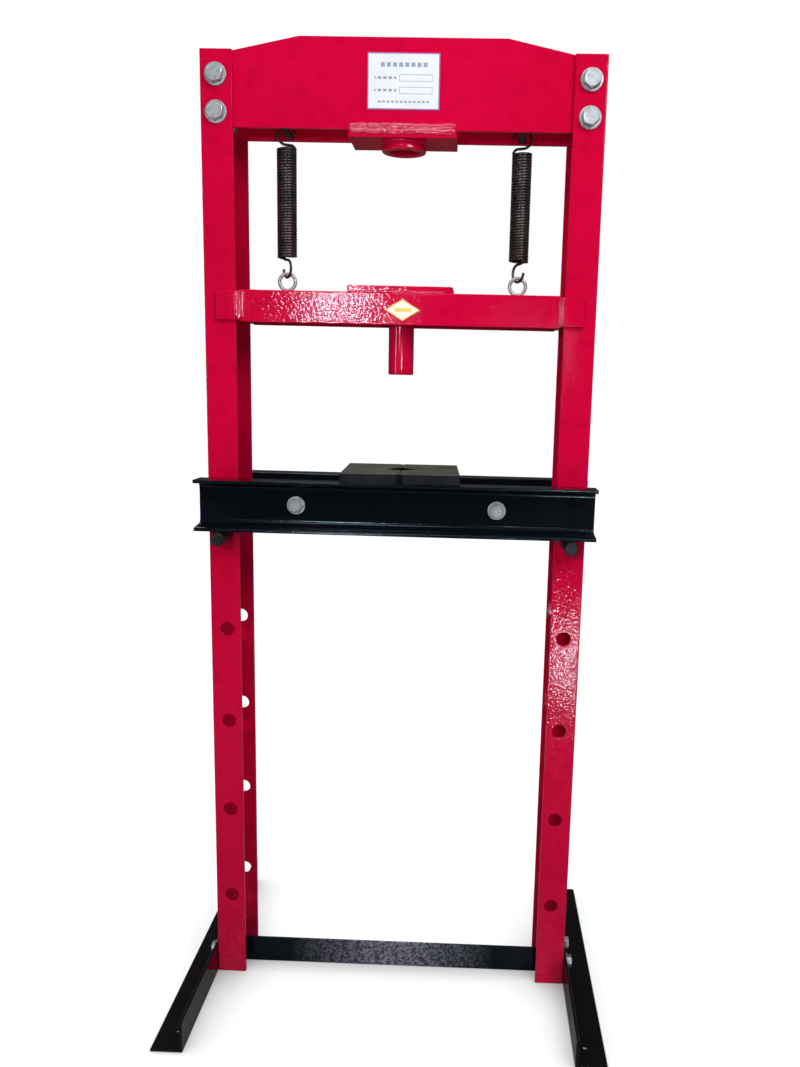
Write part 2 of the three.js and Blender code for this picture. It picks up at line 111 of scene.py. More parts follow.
def add_lights():
    """Soft lights carry the exposure, and small ones leave the glints in the gloss."""
    add_light("key_softbox", (-0.35, -1.5, 2.7), (0, 0, 0.9), (0.6, 0.5), 8, (1, 0.99, 0.98))
    add_light("right_softbox", (0.95, -1.3, 2.0), (0.1, 0, 0.9), (0.7, 0.7), 20)
    add_light("top_softbox", (0.3, -0.6, 3.2), (0, 0, 0.9), (2.2, 1.6), 13)
    add_light("rear_softbox", (-0.6, 1.9, 3.3), (0, 0, 0.8), (1.4, 1.0), 42)
    add_light("left_strip", (-1.6, -1.65, 1.15), (0, 0, 1.1), (0.12, 0.9), 6)
    add_light("beam_glint", (-0.33, -1.75, 1.27), (-0.1, 0, 1.12), (0.15, 0.12), 8)
    add_light("low_glint", (0.475, -1.7, 0.1), (0.25, 0, 0.6), (0.06, 0.22), 4.6)
    add_light("flash", (0.27, -1.6, 1.08), (0.1, 0, 1.0), (0.05, 0.04), 0.8)


def add_world():
    """A pale backdrop behind the press and a dim room in front of it, white to the camera."""
    world = bpy.data.worlds.new("studio")
    bpy.context.scene.world = world
    world.use_nodes = True
    tree = world.node_tree
    background = tree.nodes["Background"]
    background.inputs["Color"].default_value = (1, 1, 1, 1)
    ray = tree.nodes.new("ShaderNodeLightPath")
    backwards = parts_of(tree, tree.nodes.new("ShaderNodeTexCoord").outputs["Generated"])["Y"]
    room = span(tree, backwards, -0.6, 0.7, 0.06, 0.34)
    room.node.interpolation_type = "SMOOTHSTEP"
    dimmer = span(tree, ray.outputs["Is Glossy Ray"], 0, 1, 1.0, 0.16)
    soft = math_node(tree, "MULTIPLY", room, dimmer)
    level = math_node(tree, "MAXIMUM", soft, ray.outputs["Is Camera Ray"])
    tree.links.new(level, background.inputs["Strength"])


def add_floor():
    """A floor that glows white to the camera as painted light, with painted shade a little darker
    near the press and a painted contact shadow under it.
    """
    bm = bmesh.new()
    bm.faces.new([bm.verts.new(p) for p in circle(FLOOR_RADIUS, 0, 96)])
    data = bpy.data.meshes.new("floor")
    bm.to_mesh(data)
    bm.free()
    floor = bpy.data.objects.new("floor", data)
    bpy.context.scene.collection.objects.link(floor)
    floor.location.z = -FLOOR_DROP
    material, tree, shader = new_material("pale_floor")
    shader.inputs["Base Color"].default_value = (0.25, 0.25, 0.25, 1)
    shader.inputs["Roughness"].default_value = 0.75
    ray = tree.nodes.new("ShaderNodeLightPath")
    reach = tree.nodes.new("ShaderNodeVectorMath")
    reach.operation = "LENGTH"
    tree.links.new(tree.nodes.new("ShaderNodeTexCoord").outputs["Object"], reach.inputs[0])
    away = span(tree, reach.outputs["Value"], 0.6, 4.5, 0.87, 1.0)
    # Painted contact shadow: ambient occlusion darkens the floor's glow under and beside the press.
    painted_contact_shadow = tree.nodes.new("ShaderNodeAmbientOcclusion")
    painted_contact_shadow.samples = 8
    painted_contact_shadow.inputs["Distance"].default_value = 0.11
    lit = math_node(tree, "MULTIPLY", away, painted_contact_shadow.outputs["AO"])
    # The floor glows to camera rays only: painted light, as it is no lamp.
    glow = math_node(tree, "MULTIPLY", ray.outputs["Is Camera Ray"], lit)
    shader.inputs["Emission Color"].default_value = (1, 1, 1, 1)
    tree.links.new(glow, shader.inputs["Emission Strength"])
    data.materials.append(material)


# ---- Materials ----

def new_material(name):
    material = bpy.data.materials.new(name)
    material.use_nodes = True
    tree = material.node_tree
    return material, tree, tree.nodes["Principled BSDF"]


def feed(tree, socket, value):
    if isinstance(value, bpy.types.NodeSocket):
        tree.links.new(value, socket)
    else:
        socket.default_value = value


def parts_of(tree, vector):
    """The X, Y and Z of a vector."""
    made = tree.nodes.new("ShaderNodeSeparateXYZ")
    tree.links.new(vector, made.inputs[0])
    return made.outputs


def math_node(tree, operation, a, b=0.0, c=0.0):
    made = tree.nodes.new("ShaderNodeMath")
    made.operation = operation
    for socket, value in zip(made.inputs, (a, b, c)):
        feed(tree, socket, value)
    return made.outputs[0]


def noise_node(tree, scale, detail=3.0, roughness=0.5, stretch=None, distortion=0.0):
    """Noise in object coordinates. stretch divides the pattern's frequency along each axis."""
    place = tree.nodes.new("ShaderNodeTexCoord").outputs["Object"]
    if stretch:
        mapping = tree.nodes.new("ShaderNodeMapping")
        tree.links.new(place, mapping.inputs["Vector"])
        mapping.inputs["Scale"].default_value = [1 / s for s in stretch]
        place = mapping.outputs[0]
    made = tree.nodes.new("ShaderNodeTexNoise")
    tree.links.new(place, made.inputs["Vector"])
    made.inputs["Scale"].default_value = scale
    made.inputs["Detail"].default_value = detail
    made.inputs["Roughness"].default_value = roughness
    made.inputs["Distortion"].default_value = distortion
    return made.outputs["Fac"]


def ramp(tree, value, stops):
    """A colour or grey ramp: stops are (position, colour or grey)."""
    made = tree.nodes.new("ShaderNodeValToRGB")
    tree.links.new(value, made.inputs["Fac"])
    elements = made.color_ramp.elements
    while len(elements) < len(stops):
        elements.new(0.5)
    for element, (position, colour) in zip(elements, stops):
        element.position = position
        element.color = (*colour, 1) if isinstance(colour, tuple) else (colour,) * 3 + (1,)
    return made.outputs["Color"]


def span(tree, value, low, high, to_low, to_high):
    """Maps low..high onto to_low..to_high, and holds the ends."""
    made = tree.nodes.new("ShaderNodeMapRange")
    tree.links.new(value, made.inputs["Value"])
    names = ("From Min", "From Max", "To Min", "To Max")
    for name, number in zip(names, (low, high, to_low, to_high)):
        made.inputs[name].default_value = number
    return made.outputs["Result"]


def mix(tree, share, a, b):
    made = tree.nodes.new("ShaderNodeMix")
    made.data_type = "RGBA"
    feed(tree, made.inputs["Factor"], share)
    for socket, value in ((made.inputs["A"], a), (made.inputs["B"], b)):
        feed(tree, socket, (*value, 1) if isinstance(value, tuple) else value)
    return made.outputs["Result"]


def bump(tree, height, distance, strength=1.0, under=None):
    made = tree.nodes.new("ShaderNodeBump")
    made.inputs["Distance"].default_value = distance
    made.inputs["Strength"].default_value = strength
    tree.links.new(height, made.inputs["Height"])
    if under is not None:
        tree.links.new(under, made.inputs["Normal"])
    return made.outputs["Normal"]


def set_surface(tree, shader, normal, **values):
    """Feeds the shader's normal and the sockets that the short names stand for."""
    names = {"color": "Base Color", "roughness": "Roughness", "metallic": "Metallic",
             "coat": "Coat Weight", "coat_roughness": "Coat Roughness",
             "specular": "Specular IOR Level"}
    for key, value in values.items():
        feed(tree, shader.inputs[names[key]], value)
    tree.links.new(normal, shader.inputs["Normal"])


def paint(name, shades, haze_share, peel=1.0, sheen=(0.055, 0.085), shine=0.17, marks=None):
    """Sprayed enamel: two close shades in clouds, a few hazy rubs, orange peel in the gloss.

    marks says where it is dusty or scuffed, or carries a painted highlight or reflection: the
    axis, the two distances from 0 on it between which the marks fade out, their greatest share
    and their colour.
    """
    dark, light, haze = shades
    material, tree, shader = new_material(name)
    clouds = noise_node(tree, 3.1, 4, 0.55)
    mottle = noise_node(tree, 42, 5, 0.6)
    base = ramp(tree, clouds, [(0.32, dark), (0.68, light)])
    deeper = tuple(0.72 * c for c in dark)
    base = mix(tree, span(tree, mottle, 0.5, 0.78, 0.0, 0.55), base, deeper)
    rubs = noise_node(tree, 7, 7, 0.68, stretch=(1, 1, 2.4), distortion=0.6)
    base = mix(tree, span(tree, rubs, 0.60, 0.80, 0.0, haze_share), base, haze)
    if marks:
        # The marks mix in dust or scuffs together with painted highlights or reflections, fading
        # along one axis.
        axis, near, far, most, colour = marks
        distance = math_node(tree, "ABSOLUTE", place_of(tree)[axis])
        spread = span(tree, distance, near, far, most, 0.0)
        flecks = span(tree, noise_node(tree, 210, 3, 0.7), 0.42, 0.62, 0.15, 1.0)
        base = mix(tree, both(tree, flecks, spread), base, colour)
    waves = bump(tree, noise_node(tree, 14, 2), 1.2 * MM, min(0.35, 0.3 * peel))
    skin = bump(tree, noise_node(tree, 222, 1.2, 0.5), 0.32 * MM, peel, waves)
    runs = bump(tree, noise_node(tree, 110, 2, 0.5), 0.14 * MM, 0.8 * peel, skin)
    roughness = span(tree, noise_node(tree, 11, 5, 0.6), 0.3, 0.7, *sheen)
    set_surface(tree, shader, runs, color=base, roughness=roughness, specular=shine)
    shader.inputs["Specular Tint"].default_value = (0.6, 0.84, 1, 1)
    return material


def bare_metal(name, dark, light, roughness, metallic, scale=60, relief=0.03):
    """Metal with a mottled finish, fine scratches and slightly uneven gloss."""
    material, tree, shader = new_material(name)
    patches = noise_node(tree, scale, 5, 0.6)
    scratches = noise_node(tree, 900, 3, 0.6, stretch=(1, 1, 14))
    base = ramp(tree, patches, [(0.35, dark), (0.66, light)])
    bright = tuple(1.25 * c for c in light)
    base = mix(tree, span(tree, scratches, 0.58, 0.74, 0.0, 0.35), base, bright)
    normal = bump(tree, scratches, relief * MM, 0.5)
    normal = bump(tree, noise_node(tree, 3 * scale, 3), 0.05 * MM, 0.3, normal)
    gloss = span(tree, noise_node(tree, 0.7 * scale, 4, 0.6), 0.3, 0.7,
                 roughness - 0.1, roughness + 0.12)
    set_surface(tree, shader, normal, color=base, roughness=gloss, metallic=metallic)
    return material


def flame_cut_steel(name):
    """Thick plate: an olive ground top with handling marks, and black cut sides; faces that look up
    take the lighter top colour, partly as painted light from above.
    """
    material, tree, shader = new_material(name)
    top = ramp(tree, noise_node(tree, 26, 6, 0.62),
               [(0.33, (0.030, 0.038, 0.025)), (0.68, (0.051, 0.064, 0.041))])
    rubs = noise_node(tree, 75, 8, 0.7, stretch=(3, 1, 1), distortion=0.8)
    top = mix(tree, span(tree, rubs, 0.60, 0.78, 0.0, 0.4), top, (0.085, 0.095, 0.08))
    cut = ramp(tree, noise_node(tree, 60, 5, 0.6, stretch=(1, 1, 6)),
               [(0.35, (0.002, 0.003, 0.006)), (0.7, (0.009, 0.010, 0.015))])
    # Up-facing faces get the lighter olive: partly the ground top, partly painted light falling
    # from above.
    facing = parts_of(tree, tree.nodes.new("ShaderNodeNewGeometry").outputs["Normal"])
    base = mix(tree, span(tree, facing["Z"], 0.5, 0.9, 0.0, 1.0), cut, top)
    pits = bump(tree, noise_node(tree, 420, 4, 0.6), 0.09 * MM, 0.55)
    normal = bump(tree, noise_node(tree, 30, 3), 0.4 * MM, 0.3, pits)
    gloss = span(tree, noise_node(tree, 18, 5, 0.6), 0.3, 0.7, 0.3, 0.55)
    set_surface(tree, shader, normal, color=base, roughness=gloss, specular=0.14)
    return material


def is_near(tree, value, centre, reach):
    """1 where value is within reach of centre."""
    return math_node(tree, "COMPARE", value, centre, reach)


def place_of(tree):
    """The point's X, Y and Z on the object."""
    return parts_of(tree, tree.nodes.new("ShaderNodeTexCoord").outputs["Object"])


def either(tree, *masks):
    """1 where any of the masks is 1."""
    total = masks[0]
    for mask in masks[1:]:
        total = math_node(tree, "MAXIMUM", total, mask)
    return total


def both(tree, a, b):
    """1 where both masks are 1."""
    return math_node(tree, "MULTIPLY", a, b)


def block(tree, x, z, at, half_width, half_height):
    """1 inside a rectangle round the place at."""
    return both(tree, is_near(tree, x, at[0], half_width), is_near(tree, z, at[1], half_height))


def frame_mask(tree, x, z, at, half_width, half_height, line):
    """The outline of a rectangle drawn with the given line width."""
    outer = block(tree, x, z, at, half_width, half_height)
    inner = block(tree, x, z, at, half_width - line, half_height - line)
    return math_node(tree, "SUBTRACT", outer, inner)


def dashes(tree, x, z, at, half_size, pitch):
    """A row of plain blocks in place of lettering."""
    row = block(tree, x, z, at, *half_size)
    step = math_node(tree, "FRACT", math_node(tree, "DIVIDE", x, pitch))
    return both(tree, row, math_node(tree, "GREATER_THAN", step, 0.36))


def form_label(name, node):
    """A printed form without lettering: a border, rows of plain blocks and two empty fields."""
    low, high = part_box(node)
    centre = (low + high) / 2
    half = (high - low) / 2
    material, tree, shader = new_material(name)
    place = place_of(tree)
    x, z = place["X"], place["Z"]
    rows = (0.12, -0.32)

    def spot(right, up):
        """A place on the label, in half widths and half heights from its centre."""
        return centre.x + right * half.x, centre.z + up * half.z

    border = frame_mask(tree, x, z, spot(0, 0), half.x, half.z, 1.7 * MM)
    fields = [frame_mask(tree, x, z, spot(0.34, row), 0.46 * half.x, 0.125 * half.z, 0.8 * MM)
              for row in rows]
    title = dashes(tree, x, z, spot(0, 0.58), (0.68 * half.x, 3 * MM), 9 * MM)
    foot = dashes(tree, x, z, spot(0, -0.72), (0.72 * half.x, 1.4 * MM), 6.5 * MM)
    stubs = [dashes(tree, x, z, spot(-0.5, row), (0.3 * half.x, 1.8 * MM), 8 * MM)
             for row in rows]
    paper = ramp(tree, noise_node(tree, 30, 4),
                 [(0.3, (0.67, 0.71, 0.76)), (0.7, (0.75, 0.79, 0.83))])
    ink = either(tree, title, foot, *fields, *stubs)
    base = mix(tree, ink, paper, (0.25, 0.30, 0.42))
    base = mix(tree, border, base, (0.28, 0.12, 0.40))
    normal = bump(tree, noise_node(tree, 55, 3), 0.25 * MM, 0.4)
    set_surface(tree, shader, normal, color=base, roughness=0.38, coat=0.3, coat_roughness=0.15)
    return material


def diamond_label(name, node):
    """A cream diamond with a yellow border and a plain yellow band in place of lettering."""
    low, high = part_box(node)
    centre = (low + high) / 2
    half = (high - low) / 2
    material, tree, shader = new_material(name)
    place = place_of(tree)
    x, z = place["X"], place["Z"]
    across = math_node(tree, "DIVIDE", math_node(tree, "SUBTRACT", x, centre.x), half.x)
    upward = math_node(tree, "DIVIDE", math_node(tree, "SUBTRACT", z, centre.z), half.z)
    reach = math_node(tree, "ADD", math_node(tree, "ABSOLUTE", across),
                      math_node(tree, "ABSOLUTE", upward))
    yellow = ramp(tree, noise_node(tree, 160, 4),
                  [(0.35, (0.80, 0.44, 0.03)), (0.65, (0.92, 0.62, 0.07))])
    paper = ramp(tree, noise_node(tree, 70, 4),
                 [(0.3, (0.80, 0.76, 0.62)), (0.7, (0.92, 0.90, 0.80))])
    band = both(tree, is_near(tree, across, 0, 0.5), is_near(tree, upward, 0, 0.17))
    border = math_node(tree, "GREATER_THAN", reach, 0.83)
    base = mix(tree, either(tree, band, border), paper, yellow)
    base = mix(tree, math_node(tree, "GREATER_THAN", reach, 0.95), base, (0.42, 0.10, 0.05))
    normal = bump(tree, noise_node(tree, 240, 3), 0.1 * MM, 0.4)
    set_surface(tree, shader, normal, color=base, roughness=0.35, coat=0.4, coat_roughness=0.12)
    return material


def make_materials():
    # Each paint has a dark shade, a light shade and the haze of its rubs.
    crimson = ((0.50, 0.0014, 0.030), (0.60, 0.0018, 0.042), (0.66, 0.02, 0.09))
    # The feet's black is tinted brown, with brown rubs: a painted reflection of a brown floor.
    black_with_floor_reflection = ((0.0034, 0.0024, 0.0030), (0.0072, 0.0048, 0.0056), (0.032, 0.022, 0.021))
    coal = ((0.0016, 0.0022, 0.0040), (0.0034, 0.0048, 0.0080), (0.016, 0.016, 0.021))
    black = {"peel": 0.8, "sheen": (0.1, 0.2), "shine": 0.3}
    # Near the floor the red turns paler and pinker: a painted reflection of the floor, with some
    # scuffs.
    floor_reflection_and_scuffs = ("Z", 0.02, 0.19, 0.34, (0.56, 0.045, 0.12))
    # The crossbar's middle turns pale, bluish and speckled: a painted highlight of glare, with some
    # dust.
    middle_glare_and_dust = ("X", 0.03, 0.18, 0.95, (0.27, 0.27, 0.35))
    return {
        "red_paint": paint("red_enamel", crimson, 0.08, marks=floor_reflection_and_scuffs),
        "red_weld": paint("red_weld_enamel", crimson, 0.1, peel=0.9, sheen=(0.05, 0.08),
                          shine=1.0),
        "red_turned": paint("red_turned_enamel", crimson, 0.1, peel=0.04, sheen=(0.06, 0.1),
                            shine=0.5),
        "black_paint": paint("black_enamel", coal, 0.4, **black),
        # The feet carry a painted brown floor reflection.
        "black_foot": paint("black_enamel_with_floor_reflection", black_with_floor_reflection, 0.6, **black),
        "black_glare_and_dust": paint("glare_and_dust_black_enamel", coal, 0.4, marks=middle_glare_and_dust, **black),
        "zinc": bare_metal("zinc_plate", (0.27, 0.30, 0.31), (0.44, 0.47, 0.50), 0.42, 0.7, 160),
        "spring_steel": bare_metal("oiled_spring_steel", (0.028, 0.025, 0.024),
                                   (0.085, 0.076, 0.074), 0.26, 0.7, 50, 0.006),
        "plate_steel": flame_cut_steel("mill_scale_plate"),
        "dark_steel": bare_metal("blackened_bar", (0.004, 0.0045, 0.006), (0.016, 0.017, 0.021),
                                 0.42, 0.4, 90),
        "label": form_label("blank_form_label", "rating_plate"),
        "yellow_label": diamond_label("blank_diamond_label", "diamond_plate"),
    }


# ---- Mesh tools ----

def rounded(corners, steps=5):
    """An outline whose corners (x, y, radius) are turned into arcs."""
    outline = []
    for i, (x, y, radius) in enumerate(corners):
        corner = Vector((x, y))
        if radius == 0:
            outline.append(corner)
            continue
        before = (Vector(corners[i - 1][:2]) - corner).normalized()
        after = (Vector(corners[(i + 1) % len(corners)][:2]) - corner).normalized()
        half_angle = before.angle(after) / 2
        start = corner + before * radius / math.tan(half_angle)
        centre = corner + (before + after).normalized() * radius / math.sin(half_angle)
        arm = start - centre
        sweep = math.pi - 2 * half_angle
        sign = 1 if before.cross(after) < 0 else -1
        for k in range(steps + 1):
            turn = sign * sweep * k / steps
            c, s = math.cos(turn), math.sin(turn)
            outline.append(centre + Vector((c * arm.x - s * arm.y, s * arm.x + c * arm.y)))
    return outline


def loft(bm, rings, closed=False):
    """Joins rings of points, each with the same count, capping the ends unless it is closed."""
    loops = [[bm.verts.new(p) for p in ring] for ring in rings]
    pairs = list(zip(loops, loops[1:])) + ([(loops[-1], loops[0])] if closed else [])
    for one, two in pairs:
        for k in range(len(one)):
            n = (k + 1) % len(one)
            bm.faces.new((one[k], one[n], two[n], two[k]))
    if not closed:
        bm.faces.new(list(reversed(loops[0])))
        bm.faces.new(loops[-1])


def prism(bm, outline, length, x_axis, y_axis, centre):
    """Extrudes a flat outline both ways from centre, with its x and y along two directions."""
    along = x_axis.cross(y_axis) * length / 2
    flat = [centre + x_axis * p.x + y_axis * p.y for p in outline]
    loft(bm, [[p - along for p in flat], [p + along for p in flat]])


def circle(radius, z, count=72):
    angles = [2 * math.pi * k / count for k in range(count)]
    return [Vector((radius * math.cos(a), radius * math.sin(a), z)) for a in angles]


def lathe(bm, profile, count=48, closed=False):
    """Turns (radius, height) pairs about Z; a closed profile makes a tube."""
    loft(bm, [circle(radius, z, count) for radius, z in profile], closed)


def move(bm, at=(0, 0, 0), direction=Z, spin=0.0):
    """Turns a mesh drawn about +Z towards a direction and moves it into place."""
    aim = Z.rotation_difference(Vector(direction)).to_matrix().to_4x4()
    bm.transform(Matrix.Translation(at) @ aim @ Matrix.Rotation(spin, 4, "Z"))


def sweep(bm, path, radii, sides=12, closed=False):
    """A round bar along a path, with its own radius at each point."""
    normal = None
    rings = []
    last = len(path) - 1
    for i, (point, radius) in enumerate(zip(path, radii)):
        if closed:
            tangent = (path[(i + 1) % len(path)] - path[i - 1]).normalized()
        else:
            tangent = (path[min(i + 1, last)] - path[max(i - 1, 0)]).normalized()
        if normal is None:
            normal = tangent.orthogonal().normalized()
        normal = (normal - tangent * normal.dot(tangent)).normalized()
        binormal = tangent.cross(normal)
        rings.append([point + radius * (math.cos(a) * normal + math.sin(a) * binormal)
                      for a in (2 * math.pi * k / sides for k in range(sides))])
    loft(bm, rings, closed)


def smooth_path(points, spacing):
    """Even points along a Catmull-Rom curve through the given ones."""
    ends = [2 * points[0] - points[1], *points, 2 * points[-1] - points[-2]]
    path = []
    for a, b, c, d in zip(ends, ends[1:], ends[2:], ends[3:]):
        count = max(1, round((c - b).length / spacing))
        for k in range(count):
            t = k / count
            path.append(0.5 * (2 * b + t * (c - a) + t * t * (2 * a - 5 * b + 4 * c - d)
                               + t ** 3 * (3 * b - a - 3 * c + d)))
    path.append(points[-1])
    return path


def join_into(bm, other):
    """Adds another mesh to this one and frees it."""
    copy = bpy.data.meshes.new("part")
    other.to_mesh(copy)
    other.free()
    bm.from_mesh(copy)
    bpy.data.meshes.remove(copy)


def to_object(bm, name):
    bmesh.ops.recalc_face_normals(bm, faces=bm.faces)
    data = bpy.data.meshes.new(name)
    bm.to_mesh(data)
    bm.free()
    made = bpy.data.objects.new(name, data)
    bpy.context.scene.collection.objects.link(made)
    return made


def bake_modifiers(made):
    """Replaces the object's mesh by the one that its modifiers make."""
    graph = bpy.context.evaluated_depsgraph_get()
    data = bpy.data.meshes.new_from_object(made.evaluated_get(graph))
    old = made.data
    made.modifiers.clear()
    made.data = data
    bpy.data.meshes.remove(old)


def bore(made, holes, count=48):
    """Cuts round holes with eased rims: (middle, direction, radius, depth between the faces)."""
    ease, beyond = 0.5 * MM, 2 * MM
    bm = bmesh.new()
    for centre, direction, radius, depth in holes:
        half = depth / 2
        one = bmesh.new()
        lathe(one, [(radius + ease + beyond, -half - beyond), (radius, ease - half),
                    (radius, half - ease), (radius + ease + beyond, half + beyond)], count)
        move(one, centre, direction)
        join_into(bm, one)
    cutter = to_object(bm, "cutter")
    cut = made.modifiers.new("bore", "BOOLEAN")
    cut.operation, cut.solver, cut.object = "DIFFERENCE", "EXACT", cutter
    bake_modifiers(made)
    bpy.data.objects.remove(cutter)


def round_edges(made, width, segments=3, angle=32):
    bevel = made.modifiers.new("bevel", "BEVEL")
    bevel.width, bevel.segments = width, segments
    bevel.limit_method, bevel.angle_limit = "ANGLE", math.radians(angle)
    bevel.use_clamp_overlap = True
    bake_modifiers(made)


def shade(made):
    """Smooth shading that keeps the broad faces flat."""
    for face in made.data.polygons:
        face.use_smooth = True
    weighted = made.modifiers.new("flat", "WEIGHTED_NORMAL")
    weighted.weight = 60
    bake_modifiers(made)


def body_of(node):
    bodies = frame["record"]["behaviour"]["bodies"]
    return next(body for body, nodes in bodies.items() if node in nodes)


def dress(made, slot, body, material=None):
    """Gives a piece the material of its slot, or the one named instead, and puts it in its body."""
    made.data.materials.clear()
    made.data.materials.append(MATERIALS[material or slot])
    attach(made, body)


def stand_in(bm, node, slot, bevel=0.6 * MM, holes=(), segments=3, angle=32, material=None):
    """Finishes a detailed piece that takes the place of a CAD node and keeps its name's place."""
    made = to_object(bm, node + ".detail")
    if bevel:
        round_edges(made, bevel, segments, angle)
    if holes:
        bore(made, holes)
    shade(made)
    dress(made, slot, body_of(node), material)
    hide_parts(node)


def extra(bm, name, slot, body, material=None):
    """Finishes a piece that the CAD leaves out, such as a weld or a washer."""
    made = to_object(bm, name)
    shade(made)
    dress(made, slot, body, material)


def middle(node):
    low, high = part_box(node)
    return (low + high) / 2


# ---- Rolled sections and plates ----

def channel_outline(depth, flange, web, tip, root, fillet, corner,
                    toe=0.8 * MM, inner_toe=1.3 * MM):
    """A rolled channel: the web's back is on y = 0, and the flanges run to y = flange.

    tip and root are the flange's thicknesses at its toe and at the web.
    """
    half = depth / 2
    return rounded([
        (-half, 0, corner), (-half, flange, toe), (tip - half, flange, inner_toe),
        (root - half, web, fillet), (half - root, web, fillet),
        (half - tip, flange, inner_toe), (half, flange, toe), (half, 0, corner)], 6)


def angle_outline(leg, thickness):
    """A rolled angle with a square heel, an inner fillet and rounded toes."""
    return rounded([
        (0, 0, 0.9 * MM), (leg, 0, 0.6 * MM), (leg, thickness, 2.4 * MM),
        (thickness, thickness, 4.5 * MM), (thickness, leg, 2.4 * MM), (0, leg, 0.6 * MM)], 5)


UPRIGHT_WEB, UPRIGHT_FLANGE = 5 * MM, 6.5 * MM
PIN_HOLE_RADIUS, PIN_PITCH, PIN_LEVELS = 11.5 * MM, 157 * MM, 5
PIN_DROP = 0.7 * MM           # the pin rests this far below its hole's centre
HEAD_HOLE_RADIUS = 8.5 * MM
SMALL_HOLE_RADIUS = 6.5 * MM
HEAD_FLAT, HEAD_SLOPE = 154 * MM, 0.212     # half of the level top edge, and the slope past it
FOOT_THICKNESS = 5 * MM
ANCHOR_OFFSET, ANCHOR_INSET, ANCHOR_RADIUS = 19.7 * MM, 45 * MM, 4.5 * MM
CROSSBAR_PLATE, CROSSBAR_LEG, CROSSBAR_FRONT = 4.7 * MM, 45 * MM, -16 * MM
BED_WEB, BEAM_WEB = 5 * MM, 5.3 * MM
EYE_HOLE_RADIUS = 4.5 * MM
PLATE_TURN = math.radians(2.5)              # the press plates lie a little turned on the bed
NODE_GAP = 0.3 * MM                         # between parts that touch


def foot_bolt_holes(x, thickness):
    """The two holes for foot bolts through a plate whose middle is at x."""
    bolts = [middle(f"foot_bolt_left_{end}") for end in ENDS]
    return [(Vector((x, bolt.y, bolt.z)), X, SMALL_HOLE_RADIUS, thickness) for bolt in bolts]


def add_uprights():
    for name, side in SIDES.items():
        node = f"{name}_upright"
        low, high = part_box(node)
        size = high - low
        outline = channel_outline(size.y, size.x, UPRIGHT_WEB, tip=UPRIGHT_FLANGE,
                                  root=UPRIGHT_FLANGE, fillet=3.5 * MM, corner=2.2 * MM)
        back = Vector((side * max(abs(low.x), abs(high.x)), 0, (low.z + high.z) / 2))
        bm = bmesh.new()
        prism(bm, outline, size.z, Y, X * -side, back)
        through = size.y
        pin = middle(f"{name}_support_pin")
        holes = [(Vector((pin.x, 0, pin.z + PIN_DROP - PIN_PITCH * k)), Y, PIN_HOLE_RADIUS, through)
                 for k in range(PIN_LEVELS)]
        for level in LEVELS:
            bolt = middle(f"head_bolt_front_{name}_{level}")
            holes.append((Vector((bolt.x, 0, bolt.z)), Y, HEAD_HOLE_RADIUS, through))
        holes += foot_bolt_holes(back.x - side * UPRIGHT_WEB / 2, UPRIGHT_WEB)
        stand_in(bm, node, "red_paint", 0.7 * MM, holes)


def add_head_plates():
    for end in ENDS:
        node = f"{end}_head_plate"
        low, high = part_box(node)
        thickness = high.y - low.y
        shoulder = high.z - HEAD_SLOPE * (high.x - HEAD_FLAT)
        bm = bmesh.new()
        corners = [(low.x, low.z, 0), (high.x, low.z, 0), (high.x, shoulder, 0),
                   (HEAD_FLAT, high.z, 2 * MM), (-HEAD_FLAT, high.z, 2 * MM), (low.x, shoulder, 0)]
        centre = Vector((0, (low.y + high.y) / 2, 0))
        prism(bm, rounded(corners, 3), thickness, X, Z, centre)
        holes = []
        for side in SIDES:
            for level in LEVELS:
                bolt = middle(f"head_bolt_{end}_{side}_{level}")
                at = Vector((bolt.x, centre.y, bolt.z))
                holes.append((at, Y, HEAD_HOLE_RADIUS, thickness))
        stand_in(bm, node, "red_paint", 0.9 * MM, holes)


def plate(bm, low, high):
    """A box from its two corners."""
    centre = (low + high) / 2
    half = (high - low) / 2
    outline = [Vector((-half.x, -half.y)), Vector((half.x, -half.y)), Vector((half.x, half.y)),
               Vector((-half.x, half.y))]
    prism(bm, outline, 2 * half.z, X, Y, centre)


def add_plate(node, slot, bevel):
    bm = bmesh.new()
    plate(bm, *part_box(node))
    stand_in(bm, node, slot, bevel)


def add_socket():
    """The ring that centres the top of a jack, with a rounded lower rim."""
    low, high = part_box("jack_socket")
    outer, inner, height, rim, ease = high.x, 23 * MM, high.z - low.z, 3.2 * MM, 0.8 * MM
    lip = [(outer - rim + rim * math.sin(a), rim - rim * math.cos(a))
           for a in (math.radians(15 * k) for k in range(7))]
    bm = bmesh.new()
    lathe(bm, [(inner + ease, 0), *lip, (outer, height), (inner, height), (inner, ease)], 96,
          closed=True)
    move(bm, (0, 0, low.z))
    stand_in(bm, "jack_socket", "red_paint", 0, material="red_turned")


def add_feet():
    for name, side in SIDES.items():
        node = f"{name}_foot"
        low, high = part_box(node)
        heel = min(abs(low.x), abs(high.x))
        bm = bmesh.new()
        prism(bm, angle_outline(high.z - low.z, FOOT_THICKNESS), high.y - low.y, X * side, Z,
              Vector((side * heel, 0, low.z)))
        holes = foot_bolt_holes(side * (heel + FOOT_THICKNESS / 2), FOOT_THICKNESS)
        for way in ENDS.values():
            anchor = Vector((side * (heel + ANCHOR_OFFSET), way * (high.y - ANCHOR_INSET),
                             FOOT_THICKNESS / 2))
            holes.append((anchor, Z, ANCHOR_RADIUS, FOOT_THICKNESS))
        stand_in(bm, node, "black_paint", 0.5 * MM, holes, material="black_foot")


